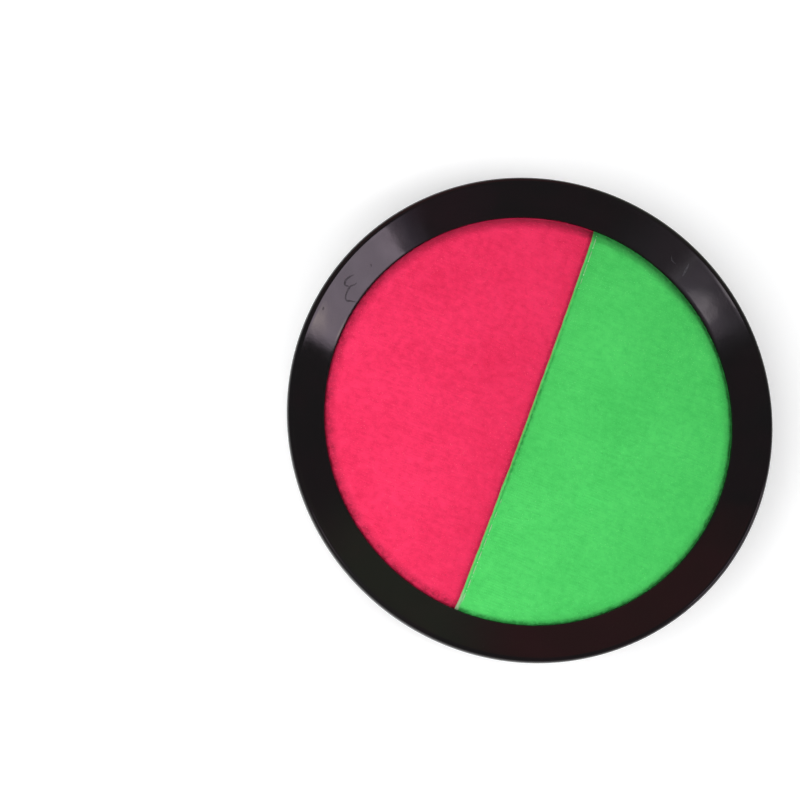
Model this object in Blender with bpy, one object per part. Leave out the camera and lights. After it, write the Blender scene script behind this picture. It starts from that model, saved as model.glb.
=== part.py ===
"""Hook and loop catch paddle, lying on its back, face up.

A dished black ring holds a padded face of two hook fabrics, pink and green, which meet at a
folded seam. Behind the pad are a stiff board, a black cloth and a hand strap in two halves.
Metres, +Z up, the origin on the surface below the middle of the paddle, the seam along Y.
"""
import math

import bmesh
import bpy

MM = 0.001

# Rim
OPENING_RADIUS = 80.0 * MM      # bare edge of the fabric inside the rim
RIM_WIDTH = 15.0 * MM           # from the opening to the outermost edge
RIM_DISH = 5.6 * MM             # outer edge above the inner lip
RIM_WALL = 1.8 * MM
LIP_THICKNESS = 1.8 * MM
EDGE_ROUND = 1.6 * MM           # radius of the rolled outer edge
EDGE_DROP = 1.5 * MM            # straight part below the rolled edge
GRIP_WIDTH = 4.8 * MM           # how far the rim reaches over the pad's edge
FRONT_STEPS = 96

# Back ring
SPIGOT_WALL = 2.0 * MM
SPIGOT_HEIGHT = 2.5 * MM        # how deep it sits in the front ring
BEZEL_OVERLAP = 1.5 * MM        # its ledge reaches this far inside the opening
BEZEL_THICKNESS = 2.0 * MM
FOOT_TAPER = 1.0 * MM
FOOT_ROUND = 0.8 * MM
RECESS_DEPTH = 13.0 * MM        # from the foot to the back cloth
BACK_STEPS = 72

# Pad, from the back to the face
CLOTH_THICKNESS = 0.8 * MM
BOARD_THICKNESS = 1.5 * MM
FOAM_EDGE = 2.6 * MM            # the foam where the rim presses it
FABRIC_THICKNESS = 1.0 * MM
PAD_PUFF = 3.4 * MM             # the face stands this far above its pressed edge
PAD_ROLL = 5.5 * MM             # over this width inside the lip
PAD_CROWN = 0.6 * MM            # and a little more in the middle
PAD_STEPS = 48

# Seam of the face
SEAM_OFFSET = -1.9 * MM         # the seam's ends lie on the pink side of the middle
SEAM_BOW = 0.8 * MM             # and its middle bows back
SEAM_SLOPE = 7.0 * MM           # the pink dips to the seam over this width
SEAM_LAP = 7.0 * MM             # and runs this far under the green
FOLD_WIDTH = 2.3 * MM           # ridge of the green's folded edge
FOLD_HEIGHT = 0.5 * MM
GROOVE_DEPTH = 0.15 * MM        # the line of stitches beside the fold
GROOVE_WIDTH = 0.8 * MM

# Hand strap
STRAP_WIDTH = 38.0 * MM
STRAP_THICKNESS = 1.2 * MM
STRAP_INSET = 2.0 * MM          # its ends stop this far inside the back ring's ledge
STRAP_TAB = 13.0 * MM           # the end that is sewn flat to the cloth
STRAP_BEND = 22.0 * MM          # length of the bend away from the cloth
STRAP_FLOOR_GAP = 1.2 * MM
PATCH_LENGTH = 50.0 * MM
PATCH_MARGIN = 2.0 * MM         # webbing bare beside the patch
PATCH_THICKNESS = 0.8 * MM
BEND_STEPS = 10

# Fit
GAP = 0.3 * MM                  # between pieces that touch

# Radii that follow
RIM_RADIUS = OPENING_RADIUS + RIM_WIDTH
SKIRT_INSIDE = OPENING_RADIUS + GRIP_WIDTH
SKIRT_OUTSIDE = SKIRT_INSIDE + RIM_WALL
PAD_RADIUS = SKIRT_INSIDE - GAP
BEZEL_RADIUS = OPENING_RADIUS - BEZEL_OVERLAP

# Heights that follow, from the foot up
CLOTH_BOTTOM = RECESS_DEPTH
BOARD_BOTTOM = CLOTH_BOTTOM + CLOTH_THICKNESS + GAP
FOAM_BOTTOM = BOARD_BOTTOM + BOARD_THICKNESS + GAP
FACE_BOTTOM = FOAM_BOTTOM + FOAM_EDGE + GAP
FACE_EDGE = FACE_BOTTOM + FABRIC_THICKNESS
SEAT = FACE_EDGE + GAP
CREST = SEAT + LIP_THICKNESS + RIM_DISH
SPIGOT_TOP = CLOTH_BOTTOM - GAP
SHOULDER = SPIGOT_TOP - SPIGOT_HEIGHT

# The pink and the foam sink below the green by one layer at the seam
LAYER = FABRIC_THICKNESS + GAP


def clear_scene():
    for item in list(bpy.data.objects):
        bpy.data.objects.remove(item, do_unlink=True)


def make_material(name, color, roughness):
    material = bpy.data.materials.new(name)
    material.use_nodes = True
    shader = material.node_tree.nodes["Principled BSDF"]
    shader.inputs["Base Color"].default_value = (*color, 1.0)
    shader.inputs["Roughness"].default_value = roughness
    shader.inputs["Metallic"].default_value = 0.0
    material.diffuse_color = (*color, 1.0)
    return material


def add_object(name, bm, material, smooth_below=35.0):
    """Turns a closed mesh into a named object, shaded smooth across its shallow edges."""
    bmesh.ops.recalc_face_normals(bm, faces=bm.faces)
    mesh = bpy.data.meshes.new(name)
    bm.to_mesh(mesh)
    bm.free()
    mesh.materials.append(material)
    mesh.shade_smooth()
    mesh.set_sharp_from_angle(angle=math.radians(smooth_below))
    item = bpy.data.objects.new(name, mesh)
    bpy.context.scene.collection.objects.link(item)
    return item


def smooth_step(value):
    value = min(max(value, 0.0), 1.0)
    return value * value * (3.0 - 2.0 * value)


def arc(centre_r, centre_z, radius, start, end, steps):
    """Points on an arc in a turned outline, angles in degrees from the outward direction."""
    points = []
    for step in range(steps + 1):
        angle = math.radians(start + (end - start) * step / steps)
        points.append((centre_r + radius * math.cos(angle), centre_z + radius * math.sin(angle)))
    return points


def turned(name, outline, steps, material):
    """A ring turned about Z from a closed outline of radius and height."""
    bm = bmesh.new()
    verts = [bm.verts.new((radius, 0.0, height)) for radius, height in outline]
    edges = [bm.edges.new((verts[i - 1], verts[i])) for i in range(len(verts))]
    bmesh.ops.spin(bm, geom=verts + edges, cent=(0, 0, 0), axis=(0, 0, 1),
                   angle=math.tau, steps=steps, use_merge=True)
    return add_object(name, bm, material)


def rim_section():
    """The front ring's outline: lip, sloping flange, rolled edge, and the skirt under it."""
    lip = LIP_THICKNESS / 2
    nose_r = OPENING_RADIUS + lip
    nose_z = SEAT + lip
    edge_r = RIM_RADIUS - EDGE_ROUND
    edge_z = CREST - EDGE_ROUND
    across = edge_r - nose_r
    up = edge_z - nose_z
    slope = math.atan2(up, across) + math.asin((EDGE_ROUND - lip) / math.hypot(across, up))
    under_r = nose_r + (RIM_WALL - lip) * math.sin(slope)
    under_z = nose_z - (RIM_WALL - lip) * math.cos(slope)

    def underside(radius):
        return under_z + (radius - under_r) * math.tan(slope)

    inside = RIM_RADIUS - RIM_WALL
    square_to_slope = 90.0 + math.degrees(slope)
    outline = [(SKIRT_INSIDE, SEAT), (SKIRT_INSIDE, SHOULDER + GAP), (SKIRT_OUTSIDE, SHOULDER + GAP)]
    outline += [(SKIRT_OUTSIDE, underside(SKIRT_OUTSIDE)), (inside, underside(inside))]
    outline += arc(RIM_RADIUS - RIM_WALL / 2, edge_z - EDGE_DROP, RIM_WALL / 2, 180, 360, 4)
    outline += arc(edge_r, edge_z, EDGE_ROUND, 0, square_to_slope, 7)
    outline += arc(nose_r, nose_z, lip, square_to_slope, 270, 5)
    return outline


def back_ring_section():
    """The back ring's outline: foot, tapered wall, spigot, and the ledge under the pad."""
    spigot = SKIRT_INSIDE - GAP
    wall_inside = spigot - SPIGOT_WALL
    foot_outside = SKIRT_OUTSIDE - FOOT_TAPER
    ledge = BEZEL_THICKNESS / 2
    outline = arc(foot_outside - FOOT_ROUND, FOOT_ROUND, FOOT_ROUND, 270, 360, 2)
    outline += [(SKIRT_OUTSIDE, SHOULDER), (spigot, SHOULDER), (spigot, SPIGOT_TOP)]
    outline += arc(BEZEL_RADIUS + ledge, SPIGOT_TOP - ledge, ledge, 90, 270, 3)
    outline += [(wall_inside, SPIGOT_TOP - BEZEL_THICKNESS)]
    outline += arc(wall_inside + FOOT_ROUND, FOOT_ROUND, FOOT_ROUND, 180, 270, 2)
    return outline


def face_height(radius):
    """Top of the face without its seam: pressed flat under the lip, puffed up inside it."""
    start = OPENING_RADIUS - PAD_ROLL
    if radius >= OPENING_RADIUS:
        return FACE_EDGE
    if radius >= start:
        share = (radius - start) / PAD_ROLL
        return FACE_EDGE + PAD_PUFF * (1.0 - share * share)
    share = radius / start
    return FACE_EDGE + PAD_PUFF + PAD_CROWN * (1.0 - share * share)


def sink(across):
    """How far the pink sinks below the face, by the distance across the seam."""
    return LAYER * smooth_step((across + SEAM_SLOPE) / SEAM_SLOPE)


def fold_rise(across, radius):
    """The ridge of the green's folded edge and the stitched groove beside it."""
    half = FOLD_WIDTH / 2
    inside = 1.0 - ((across - half) / half) ** 2
    ridge = FOLD_HEIGHT * math.sqrt(max(inside, 0.0))
    groove = GROOVE_DEPTH * math.exp(-((across - FOLD_WIDTH - GROOVE_WIDTH / 2) / GROOVE_WIDTH) ** 2)
    bare = min(max((OPENING_RADIUS - radius) / (PAD_ROLL / 2), 0.0), 1.0)
    return (ridge - groove) * bare


def pink_top(across, radius):
    return face_height(radius) - sink(across)


def pink_bottom(across, radius):
    return pink_top(across, radius) - FABRIC_THICKNESS


def green_top(across, radius):
    return face_height(radius) + fold_rise(across, radius)


def green_bottom(across, radius):
    return face_height(radius) - FABRIC_THICKNESS


def foam_top(across, radius):
    """The foam lies under both fabrics, with a channel where they overlap."""
    leaving = smooth_step((across - SEAM_LAP - GAP) / (SEAM_SLOPE / 2))
    return face_height(radius) - LAYER - sink(across) * (1.0 - leaving)


def foam_bottom(across, radius):
    return FOAM_BOTTOM


def pad_rings():
    """Radii of the mesh's rings, close together where the face rolls down to the lip."""
    roll = OPENING_RADIUS - PAD_ROLL
    rings = [roll * share for share in (0.15, 0.35, 0.55, 0.75, 0.9, 1.0)]
    rings += [roll + PAD_ROLL * share for share in (0.25, 0.5, 0.75, 1.0)]
    return rings + [PAD_RADIUS]


def flat_disc(radii, steps):
    """A flat round net of faces about the origin."""
    bm = bmesh.new()
    centre = bm.verts.new((0, 0, 0))
    rings = []
    for radius in radii:
        turns = [math.tau * step / steps for step in range(steps)]
        rings.append([bm.verts.new((radius * math.cos(a), radius * math.sin(a), 0)) for a in turns])
    for step in range(steps):
        bm.faces.new((centre, rings[0][step - 1], rings[0][step]))
        for inner, outer in zip(rings, rings[1:]):
            bm.faces.new((inner[step - 1], outer[step - 1], outer[step], inner[step]))
    return bm


def cut_across(bm, across, drop_below=False, drop_above=False):
    """Cuts the flat net along a line beside the seam, and may drop one side of it."""
    everything = bm.verts[:] + bm.edges[:] + bm.faces[:]
    bmesh.ops.bisect_plane(bm, geom=everything, dist=1e-6, plane_co=(SEAM_OFFSET + across, 0, 0),
                           plane_no=(1, 0, 0), clear_inner=drop_below, clear_outer=drop_above)


def pad_layer(name, top, bottom, lines, material, low=None, high=None):
    """A layer of the pad: the flat net, cut beside the seam, raised to a top and a bottom."""
    bm = flat_disc(pad_rings(), PAD_STEPS)
    for across in lines:
        cut_across(bm, across)
    if low is not None:
        cut_across(bm, low, drop_below=True)
    if high is not None:
        cut_across(bm, high, drop_above=True)
    bmesh.ops.triangulate(bm, faces=bm.faces)
    upper = list(bm.verts)
    lower = {}
    for vert in upper:
        radius = math.hypot(vert.co.x, vert.co.y)
        across = vert.co.x - SEAM_OFFSET
        shift = SEAM_BOW * (1.0 - (radius / PAD_RADIUS) ** 2)
        lower[vert] = bm.verts.new((vert.co.x + shift, vert.co.y, bottom(across, radius)))
        vert.co = (vert.co.x + shift, vert.co.y, top(across, radius))
    rim_edges = [edge for edge in bm.edges if len(edge.link_faces) == 1]
    for face in list(bm.faces):
        bm.faces.new([lower[vert] for vert in reversed(face.verts)])
    for edge in rim_edges:
        first, second = edge.verts
        bm.faces.new((first, second, lower[second], lower[first]))
    return add_object(name, bm, material)


def disc(name, bottom, thickness, material):
    bm = bmesh.new()
    bmesh.ops.create_circle(bm, cap_ends=True, radius=PAD_RADIUS, segments=PAD_STEPS)
    made = bmesh.ops.extrude_face_region(bm, geom=bm.faces[:])
    raised = [item for item in made["geom"] if isinstance(item, bmesh.types.BMVert)]
    bmesh.ops.translate(bm, verts=raised, vec=(0, 0, thickness))
    bmesh.ops.translate(bm, verts=bm.verts[:], vec=(0, 0, bottom))
    return add_object(name, bm, material)


def strap_reach():
    """Where the strap's sewn ends stop, so that their corners clear the back ring's ledge."""
    return math.sqrt((BEZEL_RADIUS - STRAP_INSET) ** 2 - (STRAP_WIDTH / 2) ** 2)


def strap_path(side, low, free_end):
    """Middle line of one half of the strap, from its sewn end to its free end, in x and z."""
    reach = strap_reach()
    high = CLOTH_BOTTOM - GAP - STRAP_THICKNESS / 2
    bend_start = reach - STRAP_TAB
    points = [(reach, high)]
    for step in range(BEND_STEPS + 1):
        share = step / BEND_STEPS
        fall = (high - low) * (1.0 - math.cos(math.pi * share)) / 2
        points.append((bend_start - STRAP_BEND * share, high - fall))
    points.append((-free_end, low))
    return [(side * x, z) for x, z in points]


def band(name, path, thickness, width, material):
    """A flat band of even thickness along a path in x and z, as wide as asked along Y."""
    upper, lower = [], []
    for index, (x, z) in enumerate(path):
        before = path[max(index - 1, 0)]
        after = path[min(index + 1, len(path) - 1)]
        run, rise = after[0] - before[0], after[1] - before[1]
        length = math.hypot(run, rise)
        shift_x, shift_z = -rise / length * thickness / 2, run / length * thickness / 2
        upper.append((x + shift_x, z + shift_z))
        lower.append((x - shift_x, z - shift_z))
    outline = upper + lower[::-1]
    bm = bmesh.new()
    verts = [bm.verts.new((x, -width / 2, z)) for x, z in outline]
    count = len(path)
    near = []
    for index in range(count - 1):
        corners = (index, index + 1, 2 * count - 2 - index, 2 * count - 1 - index)
        near.append(bm.faces.new([verts[corner] for corner in corners]))
    made = bmesh.ops.extrude_face_region(bm, geom=near)
    moved = [item for item in made["geom"] if isinstance(item, bmesh.types.BMVert)]
    bmesh.ops.translate(bm, verts=moved, vec=(0, width, 0))
    return add_object(name, bm, material)


def build_rings(plastic_front, plastic_back):
    turned("front_rim", rim_section(), FRONT_STEPS, plastic_front)
    turned("back_rim", back_ring_section(), BACK_STEPS, plastic_back)


def build_pad(pink, green, foam, board, cloth):
    slope_lines = [-SEAM_SLOPE * share for share in (1.0, 0.67, 0.33)]
    fold_lines = [FOLD_WIDTH * share for share in (0.15, 0.5, 0.85)]
    groove_lines = [FOLD_WIDTH + GROOVE_WIDTH * share for share in (0.5, 2.5)]
    channel_end = SEAM_LAP + GAP
    pad_layer("pink_face", pink_top, pink_bottom, slope_lines + [0.0], pink, high=SEAM_LAP)
    pad_layer("green_face", green_top, green_bottom, fold_lines + groove_lines, green, low=0.0)
    pad_layer("foam_pad", foam_top, foam_bottom,
              slope_lines + [0.0, channel_end, channel_end + SEAM_SLOPE / 2], foam)
    disc("backing_board", BOARD_BOTTOM, BOARD_THICKNESS, board)
    disc("back_cloth", CLOTH_BOTTOM, CLOTH_THICKNESS, cloth)


def build_strap(webbing, hooks, loops):
    """Two halves that overlap in the middle, joined by a hook patch on a loop patch."""
    lower = STRAP_FLOOR_GAP + STRAP_THICKNESS / 2
    loop_level = lower + STRAP_THICKNESS / 2 + GAP + PATCH_THICKNESS / 2
    hook_level = loop_level + PATCH_THICKNESS + GAP
    upper = hook_level + PATCH_THICKNESS / 2 + GAP + STRAP_THICKNESS / 2
    free_end = PATCH_LENGTH / 2 + PATCH_MARGIN
    patch_width = STRAP_WIDTH - 2 * PATCH_MARGIN
    half = PATCH_LENGTH / 2
    band("strap_left", strap_path(-1, lower, free_end), STRAP_THICKNESS, STRAP_WIDTH, webbing)
    band("strap_right", strap_path(1, upper, free_end), STRAP_THICKNESS, STRAP_WIDTH, webbing)
    band("loop_patch", [(-half, loop_level), (half, loop_level)], PATCH_THICKNESS, patch_width, loops)
    band("hook_patch", [(-half, hook_level), (half, hook_level)], PATCH_THICKNESS, patch_width, hooks)


def main():
    clear_scene()
    build_rings(make_material("black_gloss_plastic", (0.010, 0.009, 0.010), 0.18),
                make_material("black_back_plastic", (0.012, 0.011, 0.012), 0.35))
    build_pad(make_material("pink_hook_fabric", (0.930, 0.036, 0.125), 0.8),
              make_material("green_hook_fabric", (0.087, 0.617, 0.127), 0.8),
              make_material("grey_foam", (0.30, 0.30, 0.31), 0.95),
              make_material("board_plastic", (0.05, 0.05, 0.05), 0.6),
              make_material("black_cloth", (0.016, 0.016, 0.018), 0.9))
    build_strap(make_material("black_webbing", (0.014, 0.014, 0.016), 0.8),
                make_material("black_hooks", (0.020, 0.020, 0.022), 0.6),
                make_material("black_loops", (0.024, 0.024, 0.027), 0.95))


main()
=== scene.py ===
import math
import bpy
import numpy as np
from mathutils import Matrix, Vector


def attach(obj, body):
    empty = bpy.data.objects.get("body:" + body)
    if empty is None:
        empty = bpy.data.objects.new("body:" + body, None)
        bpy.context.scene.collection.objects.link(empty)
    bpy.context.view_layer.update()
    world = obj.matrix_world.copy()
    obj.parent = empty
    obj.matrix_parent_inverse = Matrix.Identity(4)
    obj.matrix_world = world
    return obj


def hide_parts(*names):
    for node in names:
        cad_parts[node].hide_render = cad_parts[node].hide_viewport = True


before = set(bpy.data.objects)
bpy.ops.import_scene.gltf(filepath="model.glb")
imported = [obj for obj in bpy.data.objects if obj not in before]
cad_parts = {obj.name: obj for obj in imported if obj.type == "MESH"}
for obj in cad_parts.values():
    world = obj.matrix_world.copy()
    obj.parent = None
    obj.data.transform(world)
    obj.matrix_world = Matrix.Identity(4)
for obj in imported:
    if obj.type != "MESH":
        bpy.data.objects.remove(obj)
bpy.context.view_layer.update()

# The hook and loop catch paddle, dressed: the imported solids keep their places, and finer pieces
# with the same sections stand for the rings, the fabric, the cloth and the strap.

MM = 0.001

# Sizes shared with the solids
OPENING_RADIUS = 80.0 * MM
RIM_RADIUS = 95.0 * MM
RIM_WALL = 1.8 * MM
LIP_THICKNESS = 1.8 * MM
EDGE_ROUND = 1.6 * MM
EDGE_DROP = 1.5 * MM
SKIRT_INSIDE = 84.8 * MM
SKIRT_OUTSIDE = 86.6 * MM
PAD_RADIUS = 84.5 * MM
SEAT = 20.1 * MM
CREST = 27.5 * MM
BEZEL_RADIUS = 78.5 * MM
SPIGOT_TOP = 12.7 * MM
SHOULDER = 10.2 * MM
GAP = 0.3 * MM

FLANGE_SAG = 0.08 * MM          # how far the moulded flange sags between its edges
FLANGE_STEPS = 10
MARK_LIFT = 0.012 * MM          # marks lie this far above the flange
MARK_STEPS = 60

FACE_EDGE = 19.8 * MM
PAD_PUFF = 3.4 * MM
PAD_ROLL = 5.5 * MM
PAD_CROWN = 0.6 * MM
LAYER = 1.3 * MM
SEAM_OFFSET = -1.9 * MM
SEAM_BOW = 0.8 * MM
SEAM_SLOPE = 7.0 * MM
SEAM_LAP = 7.0 * MM
STITCH_LINE = 1.35 * MM         # from the fold's edge to the line of stitches
STITCH_PITCH = 5.6 * MM
FOLD_WIDTH = 2.3 * MM           # how far the fold's section reaches over the green
FABRIC_EDGE = PAD_RADIUS - 0.2 * MM
FACE_ROWS = 250
PINK_COLUMNS = 210
GREEN_COLUMNS = 190             # beyond those of the fold

NET_COUNT = 69                  # points along each side of the net that the cloth is relaxed on
NET_HALF = 81.6 * MM
NET_SCALE = 10.0                # the net is made this much larger while it is relaxed
NET_FRAMES = 20
SWELL = 0.75 * MM               # most that the relaxed cloth may stand above the plain face

CLOTH_BOTTOM = 13.0 * MM
STRAP_WIDTH = 38.0 * MM
STRAP_THICKNESS = 1.2 * MM
STRAP_TAB = 13.0 * MM
STRAP_BEND = 22.0 * MM
STRAP_END = 27.0 * MM
STRAP_REACH = 74.09 * MM
STRAP_LEFT_LEVEL = 1.8 * MM
LOOP_LEVEL = 3.1 * MM
HOOK_LEVEL = 4.2 * MM
STRAP_RIGHT_LEVEL = 5.5 * MM
PATCH_LENGTH = 50.0 * MM
PATCH_WIDTH = 34.0 * MM
PATCH_THICKNESS = 0.8 * MM


# Node helpers

class Nodes:
    """A node tree, written as short calls; its patterns follow one output of a first node."""

    def __init__(self, tree, kind, output):
        self.tree = tree
        self.place = self.add(kind).outputs[output]

    def add(self, kind, props=None, **inputs):
        node = self.tree.nodes.new(kind)
        for key, value in (props or {}).items():
            setattr(node, key, value)
        for key, value in inputs.items():
            socket = node.inputs[int(key[1:])] if key[0] == "i" and key[1:].isdigit() else node.inputs[key]
            self.put(socket, value)
        return node

    def put(self, socket, value):
        """Links an output to the socket, or sets a number or a colour in it."""
        if isinstance(value, bpy.types.NodeSocket):
            self.tree.links.new(value, socket)
        else:
            socket.default_value = (*value, 1.0) if isinstance(value, tuple) else value

    def math(self, operation, first, second=0.0, third=0.0, clamp=False):
        return self.add("ShaderNodeMath", {"operation": operation, "use_clamp": clamp},
                        i0=first, i1=second, i2=third).outputs[0]

    def spread(self, value, low, high, to_low=0.0, to_high=1.0):
        """Maps low..high onto to_low..to_high, clamped, with soft ends."""
        node = self.add("ShaderNodeMapRange", {"interpolation_type": "SMOOTHSTEP"}, i0=value, i1=low,
                        i2=high, i3=to_low, i4=to_high)
        return node.outputs[0]

    def stretch(self, x, y, z, turn=0.0):
        """The object's place, turned about Z and scaled, for a pattern of that pitch."""
        node = self.add("ShaderNodeMapping", i0=self.place)
        node.inputs["Scale"].default_value = (x, y, z)
        node.inputs["Rotation"].default_value = (0.0, 0.0, turn)
        return node.outputs[0]

    def noise(self, scale, detail=2.0, rough=0.5, place=None):
        return self.add("ShaderNodeTexNoise", Vector=place or self.place, Scale=scale, Detail=detail,
                        Roughness=rough).outputs[0]

    def cells(self, scale, place=None):
        """How far each place lies from the middle of its cell."""
        return self.add("ShaderNodeTexVoronoi", Vector=place or self.place, Scale=scale).outputs["Distance"]

    def mix(self, share, first, second, blend="MIX"):
        return self.add("ShaderNodeMix", {"data_type": "RGBA", "blend_type": blend},
                        i0=share, i6=first, i7=second).outputs[2]

    def attribute(self, name):
        return self.add("ShaderNodeAttribute", {"attribute_name": name}).outputs["Fac"]

    def bump(self, height, depth, strength=1.0, normal=None):
        node = self.add("ShaderNodeBump", Strength=strength, Distance=depth, Height=height)
        if normal:
            self.tree.links.new(normal, node.inputs["Normal"])
        return node.outputs[0]


class Shader(Nodes):
    """A material whose patterns follow the object's own place."""

    def __init__(self, name, **settings):
        self.material = bpy.data.materials.new(name)
        self.material.use_nodes = True
        super().__init__(self.material.node_tree, "ShaderNodeTexCoord", "Object")
        self.surface = self.tree.nodes["Principled BSDF"]
        for key, value in settings.items():
            self.set(key, value)

    def set(self, socket, value):
        self.put(self.surface.inputs[socket.replace("_", " ")], value)


def gloss_plastic(name, color, rough, wave):
    """Moulded black plastic: a slightly uneven skin, hairline scuffs and a little dust."""
    s = Shader(name, Base_Color=color, Specular_IOR_Level=0.5)
    broad = s.noise(45.0, 2.0, 0.5)
    patches = s.noise(170.0, 3.0, 0.6)
    lines = s.noise(1.0, 1.0, 0.4, s.stretch(22.0, 2600.0, 22.0, 0.5))
    others = s.noise(1.0, 1.0, 0.4, s.stretch(2600.0, 22.0, 22.0, 0.25))
    hair = s.math("MAXIMUM", s.spread(lines, 0.70, 0.76), s.spread(others, 0.71, 0.77))
    hair = s.math("MULTIPLY", hair, s.spread(s.noise(26.0), 0.56, 0.74))
    dust = s.spread(s.cells(900.0), 0.05, 0.10, 1.0, 0.0)
    dust = s.math("MULTIPLY", dust, s.spread(s.noise(160.0), 0.58, 0.76))
    value = s.math("ADD", s.spread(patches, 0.3, 0.7, rough * 0.75, rough * 1.35),
                   s.math("MULTIPLY", hair, 0.10))
    s.set("Roughness", value)
    tone = s.mix(s.spread(broad, 0.35, 0.65), color, tuple(c * k for c, k in zip(color, (1.35, 1.0, 1.1))))
    s.set("Base_Color", s.mix(s.math("MULTIPLY", dust, 0.25), tone, (0.16, 0.15, 0.15)))
    skin = s.bump(broad, wave)
    skin = s.bump(patches, 0.012 * MM, 1.0, skin)
    skin = s.bump(s.noise(1500.0, 2.0), 0.003 * MM, 1.0, skin)
    s.set("Normal", s.bump(s.math("SUBTRACT", 1.0, hair), 0.003 * MM, 1.0, skin))
    return s.material


def ribbed(s):
    """Ribs crossed by a finer weave, which come and go over the cloth."""
    sway = s.math("MULTIPLY", s.noise(90.0, 2.0), 0.0016)
    place = s.add("ShaderNodeSeparateXYZ", i0=s.place).outputs
    rib = s.math("SINE", s.math("MULTIPLY", s.math("ADD", place[1], sway), math.tau / (1.05 * MM)))
    cross = s.math("SINE", s.math("MULTIPLY", s.math("ADD", place[0], sway), math.tau / (0.9 * MM)))
    weave = s.math("MULTIPLY_ADD", s.math("MULTIPLY", rib, cross), 0.4, s.math("MULTIPLY", rib, 0.4))
    return s.math("MULTIPLY", weave, s.spread(s.noise(52.0, 2.0), 0.42, 0.62, 0.2, 1.0))


def dotted(s, base, dark, light):
    """The colour with pale specks and dark pin holes."""
    specks = s.spread(s.cells(620.0), 0.10, 0.26, 1.0, 0.0)
    specks = s.math("MULTIPLY", specks, s.spread(s.noise(210.0), 0.50, 0.66))
    specks = s.math("MULTIPLY", specks, s.spread(s.noise(60.0), 0.40, 0.60))
    base = s.mix(s.math("MULTIPLY", specks, 0.35), base, light)
    holes = s.cells(430.0, s.stretch(1.0, 1.0, 1.0, 0.7))
    holes = s.math("MULTIPLY", s.spread(holes, 0.06, 0.16, 1.0, 0.0), s.spread(s.noise(150.0), 0.54, 0.64))
    return s.mix(s.math("MULTIPLY", holes, 0.28), base, tuple(c * 0.4 for c in dark))


def worn_and_shaded(s, base, dark, fine, streak):
    """The colour with the painted shade, the worn fold and the bare places that the mesh gives as its
    attributes.
    """
    # Painted shade: the mesh's shade attribute, made ragged by fine noise, darkens the colour towards the
    # dark tone.
    ragged_shade = s.math("MULTIPLY", s.attribute("shade"), s.spread(fine, 0.36, 0.64, 0.60, 1.40), clamp=True)
    base = s.mix(ragged_shade, base, tuple(c * 0.55 for c in dark))
    crest = s.mix(s.spread(s.noise(110.0, 2.0), 0.4, 0.6), (0.36, 0.44, 0.13), (0.30, 0.58, 0.22))
    base = s.mix(s.attribute("crest"), base, crest)
    return s.mix(s.attribute("bare"), base, s.mix(streak, (0.30, 0.42, 0.24), (0.50, 0.56, 0.44)))


def hook_fabric(name, color, dark, light, turn, rib_share, gain):
    """Woven nylon with rows of small hooks: ribs, short streaks and uneven clumps of colour, with painted
    shade from the mesh.
    """
    s = Shader(name, Roughness=0.75, Sheen_Weight=0.04, Sheen_Roughness=0.5, Specular_IOR_Level=0.22)
    streak = s.noise(1.0, 3.0, 0.6, s.stretch(140.0, 950.0, 300.0, turn))
    weave = ribbed(s)
    grain = s.noise(1900.0, 2.0, 0.6)
    clump = s.noise(330.0, 3.0, 0.6)
    fine = s.noise(700.0, 2.0, 0.6)
    broad = s.noise(38.0, 2.0, 0.5)
    tone = s.math("MULTIPLY", weave, rib_share)
    for part, share in ((streak, 0.55), (clump, 1.1), (fine, 0.4), (grain, 0.25), (broad, 0.7)):
        tone = s.math("ADD", tone, s.math("MULTIPLY", s.math("SUBTRACT", part, 0.5), share))
    base = s.mix(s.spread(tone, -gain * 1.1, gain), dark, color)
    s.set("Base_Color", worn_and_shaded(s, dotted(s, base, dark, light), dark, fine, streak))
    height = s.math("ADD", s.math("MULTIPLY", weave, 0.22), s.math("MULTIPLY", streak, 0.6))
    height = s.math("ADD", height, s.math("MULTIPLY", clump, 0.5))
    s.set("Normal", s.bump(height, 0.16 * MM, 0.7))
    return s.material


def woven(name, color, light, pitch, turn=0.0, depth=0.12):
    """Plain woven black cloth or webbing, over and under, with a few paler fibres."""
    s = Shader(name, Roughness=0.8, Sheen_Weight=0.15, Sheen_Roughness=0.5, Specular_IOR_Level=0.3)
    place = s.add("ShaderNodeSeparateXYZ", i0=s.stretch(1.0, 1.0, 1.0, turn)).outputs
    sway = s.math("MULTIPLY", s.noise(120.0), 0.0010)
    warp = s.math("SINE", s.math("MULTIPLY", s.math("ADD", place[0], sway), math.tau / pitch))
    weft = s.math("SINE", s.math("MULTIPLY", s.math("ADD", place[1], sway), math.tau / (pitch * 0.8)))
    weave = s.math("MULTIPLY", warp, weft)
    fibres = s.noise(2600.0, 3.0, 0.6)
    broad = s.noise(70.0, 2.0)
    tone = s.math("ADD", s.math("MULTIPLY", weave, 0.4), s.math("MULTIPLY", fibres, 0.9))
    tone = s.math("ADD", tone, s.math("MULTIPLY", broad, 0.6))
    s.set("Base_Color", s.mix(s.spread(tone, 0.3, 1.5), color, light))
    height = s.math("ADD", s.math("MULTIPLY", weave, 0.6), s.math("MULTIPLY", fibres, 0.3))
    s.set("Normal", s.bump(height, depth * MM, 0.8))
    return s.material


def plain_board(name, color):
    s = Shader(name, Specular_IOR_Level=0.3)
    speckle = s.noise(900.0, 3.0, 0.6)
    s.set("Base_Color", s.mix(s.spread(speckle, 0.35, 0.7), color, tuple(c * 1.5 for c in color)))
    s.set("Roughness", s.spread(speckle, 0.3, 0.7, 0.55, 0.75))
    s.set("Normal", s.bump(speckle, 0.02 * MM, 0.6))
    return s.material


def foam(name, color):
    s = Shader(name, Roughness=0.95, Specular_IOR_Level=0.2)
    cells = s.cells(1400.0)
    s.set("Base_Color", s.mix(s.spread(cells, 0.1, 0.6), tuple(c * 0.5 for c in color), color))
    s.set("Normal", s.bump(cells, 0.2 * MM, 0.8))
    return s.material


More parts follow.
